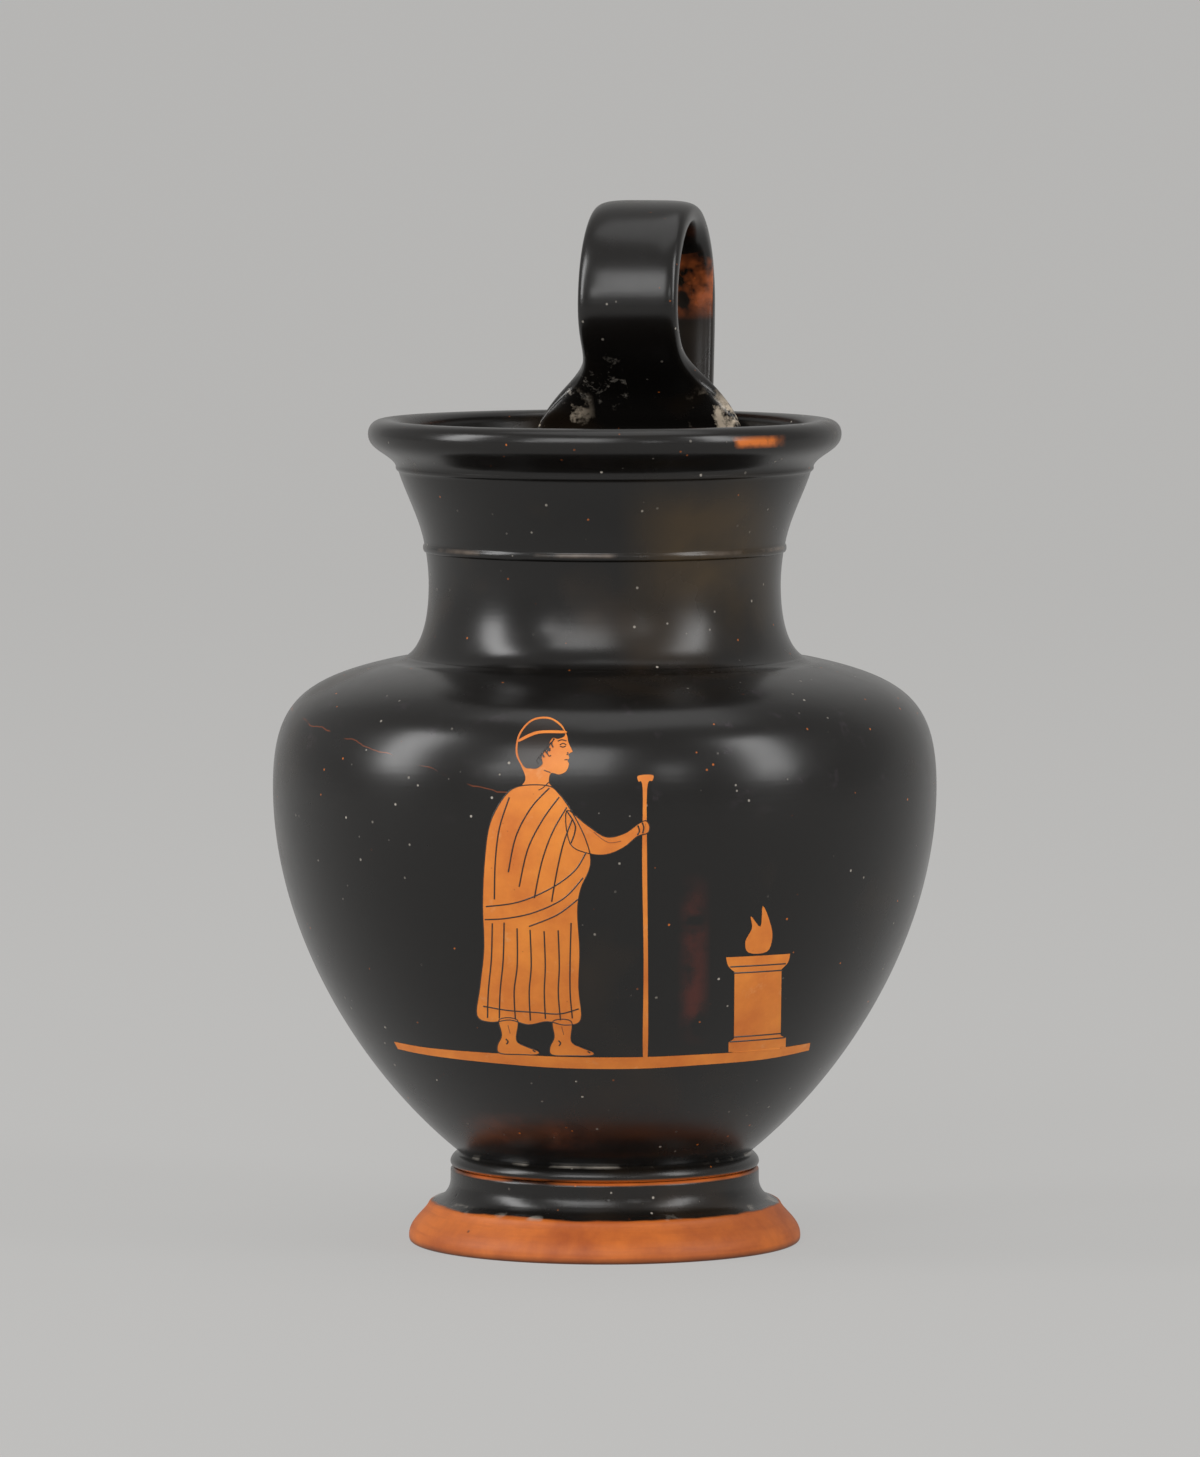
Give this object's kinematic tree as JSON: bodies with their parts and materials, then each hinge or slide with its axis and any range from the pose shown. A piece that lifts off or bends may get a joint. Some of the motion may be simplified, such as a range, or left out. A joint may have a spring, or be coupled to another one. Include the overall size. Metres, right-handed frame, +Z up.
{
  "type": "jug",
  "caption": "Small footed clay jug with black gloss, a painted standing figure, a flaring mouth and one high strap handle.",
  "frame": {"origin": "centre of the foot's resting ring, on the plane it stands on", "axes": "+Z up along the jug's axis, +Y towards the handle"},
  "size_m": [0.1264, 0.1264, 0.1977],
  "materials": {
    "black_gloss": "fired black gloss slip with a soft sheen",
    "reserved_clay": "bare orange-red clay with a thin wash"
  },
  "bodies": {
    "root": {"foot": "reserved_clay", "foot_fillet": "black_gloss", "body": "black_gloss", "neck": "black_gloss", "mouth": "black_gloss", "handle": "black_gloss"}
  },
  "joints": []
}
